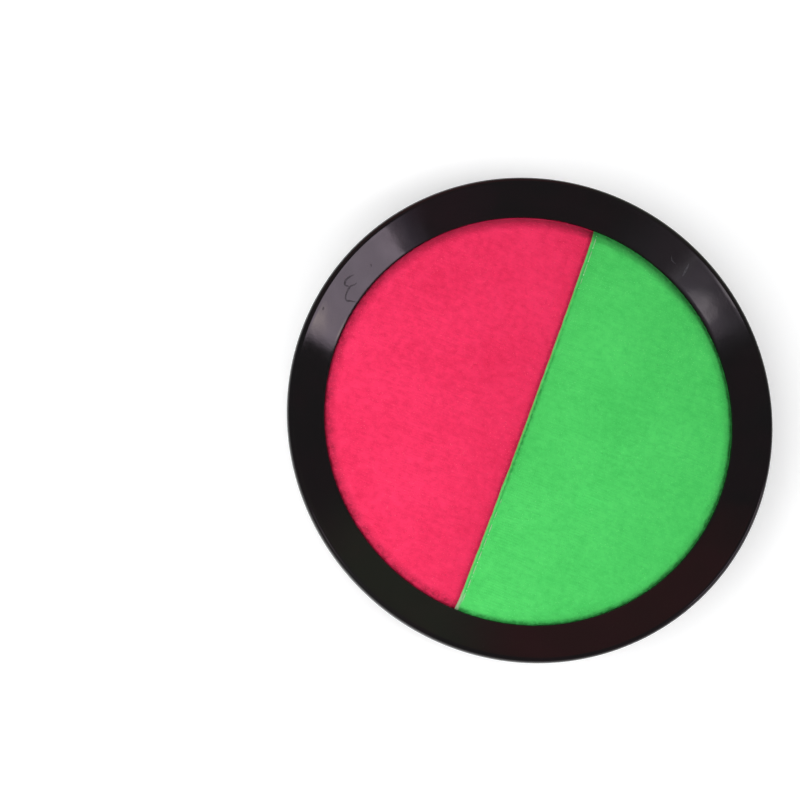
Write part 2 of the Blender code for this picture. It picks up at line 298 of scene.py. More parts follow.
def thread(name, color, light):
    s = Shader(name, Roughness=0.6, Sheen_Weight=0.2, Specular_IOR_Level=0.4)
    twist = s.noise(1.0, 2.0, 0.6, s.stretch(1500.0, 4200.0, 1500.0, 0.6))
    s.set("Base_Color", s.mix(s.spread(twist, 0.35, 0.65), color, light))
    s.set("Normal", s.bump(twist, 0.05 * MM, 0.7))
    return s.material


# Mesh helpers

def mesh_piece(name, verts, faces, material, body="root", sharp=None, **values):
    mesh = bpy.data.meshes.new(name)
    mesh.from_pydata([tuple(v) for v in verts], [], [tuple(f) for f in faces])
    mesh.validate()
    for key, value in values.items():
        field = mesh.attributes.new(key, "FLOAT", "POINT")
        field.data.foreach_set("value", np.asarray(value, dtype=np.float32))
    mesh.materials.append(material)
    mesh.shade_smooth()
    if sharp:
        mesh.set_sharp_from_angle(angle=math.radians(sharp))
    piece = bpy.data.objects.new(name, mesh)
    bpy.context.scene.collection.objects.link(piece)
    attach(piece, body)
    return piece


def grid_faces(rows, columns):
    """Faces of a net of rows by columns of points."""
    i = np.arange(rows - 1)[:, None]
    j = np.arange(columns - 1)[None, :]
    k = i + 1
    quads = np.stack([i * columns + j, i * columns + j + 1, k * columns + j + 1, k * columns + j], axis=-1)
    return quads.reshape(-1, 4).tolist()


def closed_faces(rows, size):
    """Faces of a net whose rows are closed rings of points."""
    faces = []
    for i in range(rows - 1):
        for j in range(size):
            k = (j + 1) % size
            faces.append((i * size + j, i * size + k, (i + 1) * size + k, (i + 1) * size + j))
    return faces


def arc(centre_r, centre_z, radius, start, end, steps):
    angles = np.radians(np.linspace(start, end, steps + 1))
    return [(centre_r + radius * math.cos(a), centre_z + radius * math.sin(a)) for a in angles]


def turned(name, outline, steps, material):
    """A ring turned about Z from a closed outline of radius and height."""
    points = np.array(outline)
    angles = np.linspace(0.0, math.tau, steps, endpoint=False)
    count = len(outline)
    ring = np.stack([np.outer(np.cos(angles), points[:, 0]), np.outer(np.sin(angles), points[:, 0]),
                     np.tile(points[:, 1], (steps, 1))], axis=-1)
    i = np.arange(steps)[:, None]
    j = np.arange(count)[None, :]
    k, m = (i + 1) % steps, (j + 1) % count
    quads = np.stack([i * count + j, k * count + j, k * count + m, i * count + m], axis=-1).reshape(-1, 4)
    return mesh_piece(name, ring.reshape(-1, 3), quads.tolist(), material, sharp=30)


def ripples(x, y, pitch, seed):
    """A smooth uneven field between about -1 and 1, the same on each run."""
    count = 14
    rng = np.random.default_rng(seed)
    total = np.zeros_like(x)
    for _ in range(count):
        angle = rng.uniform(0, math.tau)
        wave = math.tau / (pitch * rng.uniform(0.7, 1.6))
        total += np.sin(wave * (x * math.cos(angle) + y * math.sin(angle)) + rng.uniform(0, math.tau))
    return total / math.sqrt(count) / 1.4


def smooth_step(value):
    value = np.clip(value, 0.0, 1.0)
    return value * value * (3.0 - 2.0 * value)


# The two rings

def front_outline():
    lip = LIP_THICKNESS / 2
    nose_r, nose_z = OPENING_RADIUS + lip, SEAT + lip
    edge_r, edge_z = RIM_RADIUS - EDGE_ROUND, CREST - EDGE_ROUND
    across, up = edge_r - nose_r, edge_z - nose_z
    slope = math.atan2(up, across) + math.asin((EDGE_ROUND - lip) / math.hypot(across, up))
    under_r = nose_r + (RIM_WALL - lip) * math.sin(slope)
    under_z = nose_z - (RIM_WALL - lip) * math.cos(slope)

    def underside(radius):
        return under_z + (radius - under_r) * math.tan(slope)

    inside = RIM_RADIUS - RIM_WALL
    lean = 90.0 + math.degrees(slope)
    outline = [(SKIRT_INSIDE, SEAT), (SKIRT_INSIDE, SHOULDER + GAP), (SKIRT_OUTSIDE, SHOULDER + GAP)]
    outline += [(SKIRT_OUTSIDE, underside(SKIRT_OUTSIDE)), (inside, underside(inside))]
    outline += arc(RIM_RADIUS - RIM_WALL / 2, edge_z - EDGE_DROP, RIM_WALL / 2, 180, 360, 10)
    edge = arc(edge_r, edge_z, EDGE_ROUND, 0, lean, 22)
    nose = arc(nose_r, nose_z, lip, lean, 270, 14)
    (outer_r, outer_z), (inner_r, inner_z) = edge[-1], nose[0]
    flange = []
    for share in np.linspace(0, 1, FLANGE_STEPS + 2)[1:-1]:
        sag = 4 * FLANGE_SAG * share * (1 - share)
        flange.append((outer_r + (inner_r - outer_r) * share, outer_z + (inner_z - outer_z) * share - sag))
    return outline + edge + flange + nose, nose[:1] + flange[::-1] + edge[-1:]


def back_outline():
    spigot = SKIRT_INSIDE - GAP
    wall_inside = spigot - 2.0 * MM
    foot_outside = SKIRT_OUTSIDE - 1.0 * MM
    foot_round = 0.8 * MM
    ledge = 1.0 * MM
    outline = arc(foot_outside - foot_round, foot_round, foot_round, 270, 360, 6)
    outline += [(SKIRT_OUTSIDE, SHOULDER), (spigot, SHOULDER), (spigot, SPIGOT_TOP)]
    outline += arc(BEZEL_RADIUS + ledge, SPIGOT_TOP - ledge, ledge, 90, 270, 10)
    outline += [(wall_inside, SPIGOT_TOP - 2 * ledge)]
    outline += arc(wall_inside + foot_round, foot_round, foot_round, 180, 270, 6)
    return outline


rim_black = gloss_plastic("rim_black_gloss", (0.0046, 0.0038, 0.0041), 0.075, 0.10 * MM)
back_black = gloss_plastic("back_black_satin", (0.0080, 0.0075, 0.0080), 0.34, 0.10 * MM)
rim_outline, flange_line = front_outline()
rim = turned("rim_front", rim_outline, 288, rim_black)
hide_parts("front_rim")
ring = turned("rim_back", back_outline(), 240, back_black)
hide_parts("back_rim")


# Marks on the rim, as angle about Z in degrees and radius in millimetres

SCRATCH_ABOVE = [(162.5, 87.8), (163.5, 88.5), (165.0, 89.0), (166.1, 88.2), (165.6, 86.5)]
SCRATCH_BELOW = [(163.5, 85.1), (164.4, 85.4), (165.4, 86.2), (166.9, 86.1), (168.3, 85.5), (169.0, 84.4),
                 (168.4, 83.0), (168.0, 81.9), (167.5, 80.8)]
DARK_SPECKS = [[(173.9, 90.8), (174.3, 90.6), (174.7, 90.5)], [(157.2, 85.9), (157.5, 85.4), (157.8, 84.9)]]
PALE_STREAK = [(64.2, 84.2), (64.9, 87.1), (65.4, 88.9)]
PALE_HOOK = [(70.0, 86.8), (69.4, 85.8), (68.6, 85.5), (67.8, 85.6)]


def smooth_run(points, count):
    """A smooth run of points through the given ones."""
    points = np.asarray(points, dtype=float)
    ends = np.vstack([2 * points[0] - points[1], points, 2 * points[-1] - points[-2]])
    run = []
    for t in np.linspace(0, len(points) - 1, count):
        i = min(int(t), len(points) - 2)
        a, b, c, d = ends[i:i + 4]
        s = t - i
        run.append(0.5 * (2 * b + (c - a) * s + (2 * a - 5 * b + 4 * c - d) * s * s
                          + (3 * b - a - 3 * c + d) * s ** 3))
    return np.array(run)


def rim_mark(name, runs, half_width, material):
    """Fine marks that lie on the flange, narrow to nothing at their ends."""
    radii, heights = zip(*flange_line)
    verts, faces = [], []
    for points in runs:
        run = smooth_run(points, MARK_STEPS)
        turn, radius = np.radians(run[:, 0]), run[:, 1] * MM
        flat = np.stack([radius * np.cos(turn), radius * np.sin(turn)], axis=-1)
        ahead = np.gradient(flat, axis=0)
        ahead /= np.linalg.norm(ahead, axis=1)[:, None]
        taper = np.sin(np.linspace(0.05, math.pi - 0.05, MARK_STEPS)) ** 0.5 * half_width
        taper = taper * (1 + 0.35 * ripples(flat[:, 0], flat[:, 1], 1.6 * MM, 17))
        start = len(verts)
        for way in (-1, 1):
            edge = flat + np.stack([-ahead[:, 1], ahead[:, 0]], axis=-1) * (taper * way)[:, None]
            height = np.interp(np.hypot(edge[:, 0], edge[:, 1]), radii, heights) + MARK_LIFT
            verts += np.column_stack([edge, height]).tolist()
        for near in range(start, start + MARK_STEPS - 1):
            far = near + MARK_STEPS
            faces.append((far, far + 1, near + 1, near))
    piece = mesh_piece(name, verts, faces, material)
    return piece


def scuff(name, color, light, rough, specular):
    """A worn line in the gloss: its reflection is duller and its colour uneven."""
    s = Shader(name, Specular_IOR_Level=specular)
    s.set("Base_Color", s.mix(s.spread(s.noise(900.0, 3.0), 0.35, 0.65), color, light))
    s.set("Roughness", s.spread(s.noise(400.0), 0.3, 0.7, rough, rough + 0.10))
    s.set("Normal", s.bump(s.noise(1400.0), 0.004 * MM))
    return s.material


dull_black = scuff("scratch_dull", (0.004, 0.004, 0.004), (0.009, 0.008, 0.009), 0.14, 0.30)
rim_mark("rim_scratch", [SCRATCH_ABOVE, SCRATCH_BELOW], 0.35 * MM, dull_black)
rim_mark("rim_specks", DARK_SPECKS, 0.26 * MM, dull_black)
rim_mark("rim_streak", [PALE_STREAK], 0.42 * MM, scuff("scuff_pale", (0.018, 0.017, 0.019),
                                                       (0.040, 0.037, 0.042), 0.12, 0.5))
rim_mark("rim_hook", [PALE_HOOK], 0.20 * MM, scuff("scuff_faint", (0.012, 0.011, 0.013),
                                                   (0.022, 0.020, 0.023), 0.12, 0.5))


# The fabric of the face

def pressed_up(points, held):
    """Heights of the net once it has settled as a cloth, with its held points fixed."""
    mesh = bpy.data.meshes.new("net")
    mesh.from_pydata((points * NET_SCALE).tolist(), [], grid_faces(NET_COUNT, NET_COUNT))
    net = bpy.data.objects.new("net", mesh)
    bpy.context.scene.collection.objects.link(net)
    net.vertex_groups.new(name="held").add(np.flatnonzero(held.ravel()).tolist(), 1.0, "REPLACE")
    cloth = net.modifiers.new("cloth", "CLOTH")
    settings = cloth.settings
    settings.vertex_group_mass = "held"
    settings.tension_stiffness = settings.compression_stiffness = 15.0
    settings.shear_stiffness = 5.0
    settings.use_pressure = True
    settings.uniform_pressure_force = 1.0
    settings.effector_weights.gravity = 0.0
    cloth.collision_settings.use_collision = False
    for number in range(1, NET_FRAMES + 1):
        bpy.context.scene.frame_set(number)
    relaxed = net.evaluated_get(bpy.context.evaluated_depsgraph_get()).to_mesh()
    places = np.empty(len(relaxed.vertices) * 3, dtype=np.float32)
    relaxed.vertices.foreach_get("co", places)
    bpy.data.objects.remove(net)
    bpy.context.scene.frame_set(1)
    return places.reshape(NET_COUNT, NET_COUNT, 3)[..., 2] / NET_SCALE


def relaxed_net():
    """The face as a taut cloth, held under the lip and along the stitches and pressed up from below.

    Gives how far it stands above the plain face, on a square net, as a share of the most."""
    axis = np.linspace(-NET_HALF, NET_HALF, NET_COUNT)
    x, y = np.meshgrid(axis, axis)
    radius = np.hypot(x, y)
    across = x - seam_line(y) - STITCH_LINE
    plain = face_height(radius)
    held = (radius > OPENING_RADIUS - 1.5 * MM) | (np.abs(across) < 1.25 * MM)
    pulled = plain - 0.35 * MM * np.exp(-(across / (2 * MM)) ** 2)
    height = pressed_up(np.stack([x, y, pulled], axis=-1).reshape(-1, 3), held)
    rise = np.where(radius > OPENING_RADIUS, 0.0, height - plain)
    return rise / np.abs(rise).max()


def sample(field, x, y):
    """Smooth value of the square net at places on the face."""
    u = np.clip((x + NET_HALF) / (2 * NET_HALF) * (NET_COUNT - 1), 1, NET_COUNT - 2.001)
    v = np.clip((y + NET_HALF) / (2 * NET_HALF) * (NET_COUNT - 1), 1, NET_COUNT - 2.001)
    i, j = np.floor(u).astype(int), np.floor(v).astype(int)

    def weights(t):
        return ((1 - t) ** 3 / 6, (3 * t ** 3 - 6 * t * t + 4) / 6,
                (-3 * t ** 3 + 3 * t * t + 3 * t + 1) / 6, t ** 3 / 6)

    total = np.zeros_like(u)
    for m, across in enumerate(weights(u - i)):
        for n, along in enumerate(weights(v - j)):
            total += across * along * field[j - 1 + n, i - 1 + m]
    return total


def face_height(radius):
    start = OPENING_RADIUS - PAD_ROLL
    roll = (radius - start) / PAD_ROLL
    crown = radius / start
    height = np.where(radius >= start, FACE_EDGE + PAD_PUFF * (1 - roll * roll),
                      FACE_EDGE + PAD_PUFF + PAD_CROWN * (1 - crown * crown))
    return np.where(radius >= OPENING_RADIUS, FACE_EDGE, height)


def seam_line(y):
    return SEAM_OFFSET + SEAM_BOW * (1 - (y / PAD_RADIUS) ** 2)


def uneven(x, y, radius):
    """Small unevenness of the taut fabric over its foam, none under the lip."""
    bare = smooth_step((OPENING_RADIUS - radius) / (12 * MM))
    waves = bare * (0.10 * MM * ripples(x, y, 46 * MM, 5) + 0.035 * MM * ripples(x, y, 13 * MM, 9))
    return waves + SWELL * sample(SWELL_NET, x, y) * bare_share(radius)


def bare_share(radius):
    return np.clip((OPENING_RADIUS - radius) / (PAD_ROLL / 2), 0.0, 1.0)


def pink_level(across, x, y, radius):
    sink = LAYER * smooth_step((across + SEAM_SLOPE) / SEAM_SLOPE)
    return face_height(radius) - sink + uneven(x, y, radius)


def edge_shade_strength(x, y):
    """How much painted shade darkens the fabric where it rolls down to the lip, by the direction from the
    middle.
    """
    turn = np.degrees(np.arctan2(y, x)) % 360.0
    angles = [0, 22, 82, 122, 182, 222, 262, 282, 322, 360]
    strength = [0.55, 0.46, 0.26, 0.16, 0.55, 0.66, 0.62, 0.58, 0.52, 0.55]
    return np.interp(turn, angles, strength) * (1 + 0.35 * ripples(x, y, 6 * MM, 35))


# Section of the green's folded edge in millimetres: distance from the seam, height above the face
FOLD = [(1.60, -1.22), (0.90, -1.24), (0.40, -1.16), (0.08, -0.92), (-0.10, -0.55), (-0.10, -0.18),
        (0.01, 0.06), (0.14, 0.20), (0.32, 0.28), (0.52, 0.29), (0.72, 0.21), (0.90, 0.08),
        (1.06, -0.07), (1.22, -0.19), (1.35, -0.23), (1.50, -0.20), (1.80, -0.10), (2.30, -0.03)]
FOLD_SIDE, FOLD_TOP, FOLD_GROOVE = 4, 6, 14     # its first points on the side, on top, in the groove

SWELL_NET = relaxed_net()


def build_pink(material):
    turn = np.linspace(-math.pi / 2, math.pi / 2, FACE_ROWS)
    y = (FABRIC_EDGE * np.sin(turn))[:, None] * np.ones((1, PINK_COLUMNS))
    share = np.linspace(0.0, 1.0, PINK_COLUMNS)[None, :] ** 1.5
    reach = np.sqrt(np.maximum(FABRIC_EDGE ** 2 - y ** 2, 0))
    inner = seam_line(y) + np.minimum(SEAM_LAP, 0.5 * reach)
    x = inner + (-reach - inner) * share
    radius = np.hypot(x, y)
    across = x - seam_line(y)
    z = pink_level(across, x, y, radius)
    # Painted shade: darker in a narrow line beside the fold of the seam, and broadly darker towards the
    # seam.
    near = np.exp(-((across + 0.2 * MM) / (1.1 * MM)) ** 2) * 0.30
    near += np.exp(-np.abs(across) / (16 * MM)) * 0.15
    # Painted shade where the pink rolls down to the lip, stronger on some sides than others.
    roll = smooth_step((radius - 75.3 * MM) / (4.4 * MM)) * edge_shade_strength(x, y)
    shade = np.clip(near * (across < 2 * MM) + roll, 0, 1)
    zero = np.zeros(x.size)
    verts = np.stack([x, y, z], axis=-1).reshape(-1, 3)
    faces = grid_faces(FACE_ROWS, PINK_COLUMNS)
    return mesh_piece("fabric_pink", verts, faces, material, shade=shade.ravel(), crest=zero, bare=zero)


def green_net(y1):
    """The green's points, row by row: distance from the seam and height above the face."""
    fold = np.array(FOLD) * MM
    width = np.maximum(np.sqrt(np.maximum(FABRIC_EDGE ** 2 - y1 ** 2, 0)) - seam_line(y1), 0.02 * MM)
    squeeze = np.clip(width / (12 * MM), 0.0, 1.0)
    waver = 0.10 * MM * ripples(y1, y1 * 0, 17 * MM, 21) + 0.05 * MM * ripples(y1, y1 * 0, 5 * MM, 22)
    swell = 1.0 + 0.22 * ripples(y1, y1 * 0, 24 * MM, 23)
    count = len(fold)
    across = np.zeros((FACE_ROWS, count + GREEN_COLUMNS))
    lift = np.zeros_like(across)
    fade = np.clip(1 - fold[:, 0] / FOLD_WIDTH, 0, 1)[None, :]
    across[:, :count] = fold[:, 0][None, :] * squeeze[:, None] + waver[:, None] * fade * squeeze[:, None]
    lift[:, :count] = np.where(fold[:, 1] > 0, fold[:, 1] * swell[:, None], fold[:, 1])
    start = across[:, count - 1][:, None]
    share = (np.linspace(0, 1, GREEN_COLUMNS + 1)[1:] ** 1.35)[None, :]
    across[:, count:] = start + (width[:, None] - start) * share
    return across, lift


def green_shade_and_wear(x, y, across, radius):
    """Where the green has painted shade, where its fold is worn, and where its weave is bare, as shares."""
    column = np.arange(across.shape[1])[None, :]
    # Painted shade on the green beside the fold and in the broad dip next to it, strongest along the middle
    # of the seam.
    upper = smooth_step((y + 46 * MM) / (26 * MM))
    middle = np.exp(-((y + 6 * MM) / (27 * MM)) ** 2)
    valley_shade = np.exp(-((across - 0.95 * MM) / (0.75 * MM)) ** 2) * (0.05 + 0.12 * upper + 0.50 * middle)
    valley_shade = valley_shade + 0.20 * upper * np.exp(-np.maximum(across, 0) / (5.5 * MM))
    # Painted shade where the green rolls down to the lip.
    roll = smooth_step((radius - 77.8 * MM) / (1.8 * MM)) * edge_shade_strength(x, y) * 1.5
    shade = np.clip(valley_shade * (column >= FOLD_TOP) + roll, 0, 1)
    patchy = 0.5 + 0.5 * ripples(y[:, 0], y[:, 0] * 0, 9 * MM, 31)
    fold = (column >= FOLD_SIDE) & (column < FOLD_GROOVE)
    crest = np.exp(-((across - 0.02 * MM) / (0.22 * MM)) ** 2) * fold
    crest = crest * np.clip(0.28 + 0.42 * patchy, 0, 1)[:, None]
    bare = smooth_step((-y - 71.5 * MM) / (5 * MM)) * smooth_step((1.6 * MM - across) / (0.9 * MM))
    return shade, crest, bare * (column >= FOLD_SIDE) * 0.65


def build_green(material):
    y1 = FABRIC_EDGE * np.sin(np.linspace(-math.pi / 2, math.pi / 2, FACE_ROWS))
    across, lift = green_net(y1)
    columns = across.shape[1]
    y = y1[:, None] * np.ones((1, columns))
    x = seam_line(y) + across
    radius = np.hypot(x, y)
    free = bare_share(radius)
    lift = np.where(lift > 0, lift * free, lift * np.where(np.arange(columns) < FOLD_TOP, 1.0, free))
    pucker = np.sin(y * math.tau / STITCH_PITCH) * np.exp(-((across - STITCH_LINE) / (1.3 * MM)) ** 2)
    z = face_height(radius) + lift + uneven(x, y, radius) + 0.05 * MM * pucker * free
    shade, crest, bare = green_shade_and_wear(x, y, across, radius)
    verts = np.stack([x, y, z], axis=-1).reshape(-1, 3)
    faces = [face[::-1] for face in grid_faces(FACE_ROWS, columns)]
    return mesh_piece("fabric_green", verts, faces, material, shade=shade.ravel(), crest=crest.ravel(),
                      bare=bare.ravel())


# A hook from foot to tip: reach and height, half thickness, in millimetres, and lean in radians
HOOK_PATH = [(0.0, 0.0), (0.02, 0.26), (0.14, 0.42), (0.30, 0.33)]
HOOK_HALF = [0.10, 0.085, 0.085, 0.05]
HOOK_LEAN = [0.0, 0.35, 1.2, 2.2]
HOOK_SIDES = 3
HOOK_REACH = 79 * MM


def hook_places(side, rng, row_pitch, step):
    """Where the hooks of one half stand, in staggered and uneven rows."""
    rows = np.arange(-HOOK_REACH, HOOK_REACH, row_pitch)
    x, y = np.meshgrid(np.arange(-HOOK_REACH, HOOK_REACH, step), rows)
    x = x + (np.arange(len(rows)) % 2)[:, None] * step / 2
    x = (x + rng.normal(0, 0.34 * MM, x.shape)).ravel()
    y = (y + rng.normal(0, 0.16 * MM, y.shape)).ravel()
    across = x - seam_line(y)
    radius = np.hypot(x, y)
    keep = (radius < 78.6 * MM) & ((across < -0.7 * MM) if side < 0 else (across > FOLD_WIDTH - 0.2 * MM))
    keep &= rng.random(x.size) < 0.93
    x, y, across, radius = x[keep], y[keep], across[keep], radius[keep]
    level = pink_level(across, x, y, radius) if side < 0 else face_height(radius) + uneven(x, y, radius)
    return np.stack([x, y, level - 0.05 * MM], axis=-1)


def build_hooks(name, side, material, seed, row_pitch, step, size):
    """Rows of small bent hooks that stand out of the fabric."""
    rng = np.random.default_rng(seed)
    base = hook_places(side, rng, row_pitch, step)
    count = len(base)
    heading = rng.choice([0.0, math.pi], count) + rng.normal(0, 0.5, count)
    tall = rng.uniform(0.8, 1.15, count)
    lead = np.stack([np.cos(heading), np.sin(heading), np.zeros(count)], axis=-1)
    side_way = np.stack([-np.sin(heading), np.cos(heading), np.zeros(count)], axis=-1)
    upward = np.array([0.0, 0.0, 1.0])
    rings = []
    for (out, high), half, lean in zip(np.array(HOOK_PATH) * MM * size, HOOK_HALF, HOOK_LEAN):
        thick = half * MM * size
        centre = base + lead * out + upward * (high * tall)[:, None]
        across_way = lead * math.cos(lean) - upward * math.sin(lean)
        for corner in range(HOOK_SIDES):
            a = math.tau * corner / HOOK_SIDES
            rings.append(centre + side_way * (thick * math.cos(a)) + across_way * (thick * math.sin(a)))
    verts = np.stack(rings, axis=1).reshape(-1, 3)
    quads = []
    for first in range(0, (len(HOOK_PATH) - 1) * HOOK_SIDES, HOOK_SIDES):
        for corner in range(HOOK_SIDES):
            a, b = first + corner, first + (corner + 1) % HOOK_SIDES
            quads.append((a, b, b + HOOK_SIDES, a + HOOK_SIDES))
    faces = (np.array(quads)[None, :, :] + (np.arange(count) * len(rings))[:, None, None]).reshape(-1, 4)
    tone = np.repeat(rng.random(count), len(rings))
    return mesh_piece(name, verts, faces.tolist(), material, tone=tone)


def hook_nylon(name, color, light):
    s = Shader(name, Roughness=0.65, Specular_IOR_Level=0.25)
    tone = s.math("ADD", s.attribute("tone"), s.math("MULTIPLY", s.noise(75.0, 2.0), 1.6))
    s.set("Base_Color", s.mix(s.spread(tone, 1.35, 2.1), color, light))
    s.set("Normal", s.bump(s.noise(3000.0), 0.02 * MM, 0.5))
    return s.material


PINK, PINK_DARK, PINK_LIGHT = (0.930, 0.034, 0.130), (0.740, 0.017, 0.080), (1.0, 0.12, 0.22)
GREEN, GREEN_DARK, GREEN_LIGHT = (0.086, 0.660, 0.140), (0.050, 0.520, 0.096), (0.21, 0.77, 0.27)

pink_cloth = hook_fabric("fabric_pink_weave", PINK, PINK_DARK, PINK_LIGHT, math.pi / 2, 0.07, 0.46)
green_cloth = hook_fabric("fabric_green_weave", GREEN, GREEN_DARK, GREEN_LIGHT, 0.0, 0.14, 0.52)
pink = build_pink(pink_cloth)
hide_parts("pink_face")
green = build_green(green_cloth)
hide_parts("green_face")
pink_hooks = build_hooks("hooks_pink", -1, hook_nylon("hook_pink", PINK, PINK_LIGHT), 41,
                         1.30 * MM, 1.65 * MM, 1.15)
green_hooks = build_hooks("hooks_green", 1, hook_nylon("hook_green", GREEN, GREEN_LIGHT), 42,
                          1.05 * MM, 1.35 * MM, 1.0)


# Stitches

STITCH_RINGS, STITCH_SIDES = 6, 6


def stitch_points(points, at, middle, half, thick, bulge, out):
    """The rings of points of one stitch, which rises between its ends."""
    verts = []
    for index in range(STITCH_RINGS):
        share = index / (STITCH_RINGS - 1) * 2 - 1
        where = middle + share * half
        centre = np.array([np.interp(where, at, points[:, axis]) for axis in range(3)])
        ahead = np.array([np.interp(where + 1e-5, at, points[:, axis]) for axis in range(3)]) - centre
        if np.linalg.norm(ahead) < 1e-9:
            ahead = points[-1] - points[-2]
        ahead = ahead / np.linalg.norm(ahead)
        beside = np.cross(ahead, out)
        beside = beside / np.linalg.norm(beside)
        arch = math.cos(share * math.pi / 2) ** 0.6
        centre = centre + out * (bulge * arch - thick * 0.6)
        size = thick * (0.45 + 0.55 * arch)
        for corner in range(STITCH_SIDES):
            a = math.tau * corner / STITCH_SIDES
            verts.append(centre + beside * size * math.cos(a) + out * size * 0.8 * math.sin(a))
    return verts


def stitch_mesh(name, runs, thick, material, pitch, dash):
    """Stitches along runs of points; each run has how far they bulge, and up or down."""
    verts, faces = [], []
    sides = STITCH_SIDES
    last = (STITCH_RINGS - 1) * sides
    for points, bulge, way in runs:
        points = np.asarray(points, dtype=float)
        steps = np.linalg.norm(np.diff(points, axis=0), axis=1)
        at = np.concatenate([[0.0], np.cumsum(steps)])
        count = max(int(at[-1] / pitch), 1)
        out = np.array([0.0, 0.0, way])
        for number in range(count):
            middle = (number + 0.5) * at[-1] / count
            half = dash * at[-1] / count / 2
            first = len(verts)
            verts += stitch_points(points, at, middle, half, thick, bulge, out)
            for ring in range(first, first + last, sides):
                for corner in range(sides):
                    a, b = ring + corner, ring + (corner + 1) % sides
                    faces.append((a, b, b + sides, a + sides))
            faces.append(tuple(range(first, first + sides))[::-1])
            faces.append(tuple(range(first + last, first + last + sides)))
    return mesh_piece(name, verts, faces, material)


def seam_run(shift=0.0):
    y = np.linspace(-77.8 * MM + shift, 77.8 * MM + shift, 300)
    x = seam_line(y) + STITCH_LINE + 0.05 * MM * ripples(y, y * 0, 14 * MM, 51)
    radius = np.hypot(x, y)
    deep = 0.16 * MM * smooth_step((y + 52 * MM) / (22 * MM)) * smooth_step((66 * MM - y) / (18 * MM))
    z = face_height(radius) - 0.23 * MM * bare_share(radius) + uneven(x, y, radius) - deep
    return np.stack([x, y, z], axis=-1)


seam_thread = thread("thread_seam", (0.24, 0.46, 0.22), (0.42, 0.54, 0.36))
seam = stitch_mesh("seam_stitches", [(seam_run(), 0.12 * MM, 1.0)], 0.19 * MM, seam_thread,
                   STITCH_PITCH, 0.86)
knot_thread = thread("thread_knots", (0.34, 0.60, 0.34), (0.58, 0.72, 0.55))
knots = stitch_mesh("seam_knots", [(seam_run(STITCH_PITCH / 2), 0.10 * MM, 1.0)], 0.25 * MM, knot_thread,
                    STITCH_PITCH, 0.15)


# Back: cloth, straps and their fastener

def build_back_cloth(material):
    rings, steps = 70, 144
    radius = np.linspace(0.0, PAD_RADIUS, rings)[:, None] * np.ones((1, steps))
    angle = np.linspace(0, math.tau, steps, endpoint=False)[None, :] * np.ones((rings, 1))
    x, y = radius * np.cos(angle), radius * np.sin(angle)
    free = smooth_step((77 * MM - radius) / (8 * MM))
    z = CLOTH_BOTTOM + 0.14 * MM + free * (0.12 * MM * ripples(x, y, 34 * MM, 61))
    tab = np.exp(-((np.abs(x) - 61 * MM) / (3.5 * MM)) ** 2) * smooth_step((26 * MM - np.abs(y)) / (7 * MM))
    z = z - 0.12 * MM * tab * free * np.cos(y * math.tau / (6.4 * MM))
    verts = np.stack([x, y, z], axis=-1).reshape(-1, 3)
    return mesh_piece("cloth_back", verts, closed_faces(rings, steps), material)


def strap_path(side, level):
    high = CLOTH_BOTTOM - GAP - STRAP_THICKNESS / 2
    bend_start = STRAP_REACH - STRAP_TAB
    points = [(STRAP_REACH - STRAP_TAB * share, high) for share in np.linspace(0, 1, 8)[:-1]]
    for share in np.linspace(0, 1, 40):
        drop = (high - level) * (1 - math.cos(math.pi * share)) / 2
        points.append((bend_start - STRAP_BEND * share, high - drop))
    flat_start = bend_start - STRAP_BEND
    points += [(flat_start - (flat_start + STRAP_END) * share, level) for share in np.linspace(0, 1, 40)[1:]]
    return np.array([(side * x, z) for x, z in points])


def band_section(thickness, width):
    """Outline of a band with rounded edges: place across it, height."""
    edge = thickness / 2
    flat = width / 2 - edge
    section = [(y, edge) for y in np.linspace(-flat, flat, 24)]
    section += arc(flat, 0.0, edge, 90, -90, 6)[1:-1]
    section += [(y, -edge) for y in np.linspace(flat, -flat, 24)]
    section += arc(-flat, 0.0, edge, 270, 90, 6)[1:-1]
    return np.array(section)


def build_band(name, path, thickness, width, material, edge_wave, seed):
    """A flat band with rounded and slightly uneven edges, along a path in x and z."""
    count = len(path)
    run = np.gradient(path, axis=0)
    run /= np.linalg.norm(run, axis=1)[:, None]
    normal = np.stack([-run[:, 1], run[:, 0]], axis=-1)
    section = band_section(thickness, width)
    size = len(section)
    x = path[:, 0][:, None] + normal[:, 0][:, None] * section[:, 1][None, :]
    z = path[:, 1][:, None] + normal[:, 1][:, None] * section[:, 1][None, :]
    wave = 1.0 - edge_wave * (0.5 + 0.5 * ripples(path[:, 0], path[:, 0] * 0, 9 * MM, seed))
    y = section[:, 0][None, :] * np.ones((count, 1)) * wave[:, None]
    verts = np.stack([x, y, z], axis=-1).reshape(-1, 3)
    faces = closed_faces(count, size)
    faces.append(tuple(range(size))[::-1])
    faces.append(tuple((count - 1) * size + j for j in range(size)))
    return mesh_piece(name, verts, faces, material, sharp=50)


def box_run(x0, x1, half_width, height_of, cross=True):
    """Runs of stitches round a box on a strap, and over its two diagonals if it is crossed."""
    a, b, c, d = (x0, -half_width), (x1, -half_width), (x1, half_width), (x0, half_width)
    share = np.linspace(0, 1, 24)
    runs = []
    for (ax, ay), (bx, by) in [(a, b), (b, c), (c, d), (d, a)] + ([(a, c), (d, b)] if cross else []):
        x, y = ax + (bx - ax) * share, ay + (by - ay) * share
        runs.append(np.stack([x, y, height_of(x)], axis=-1))
    return runs


cloth = woven("cloth_black", (0.010, 0.010, 0.011), (0.036, 0.036, 0.040), 0.9 * MM)
webbing = woven("webbing_black", (0.008, 0.008, 0.009), (0.040, 0.040, 0.045), 1.6 * MM, 0.0, 0.25)
loops = woven("loop_black", (0.012, 0.012, 0.013), (0.05, 0.05, 0.055), 0.6 * MM, 0.5, 0.2)
hooks = woven("hook_tape_black", (0.010, 0.010, 0.011), (0.06, 0.06, 0.065), 1.0 * MM, 0.0, 0.3)
black_thread = thread("thread_black", (0.014, 0.014, 0.016), (0.055, 0.055, 0.060))

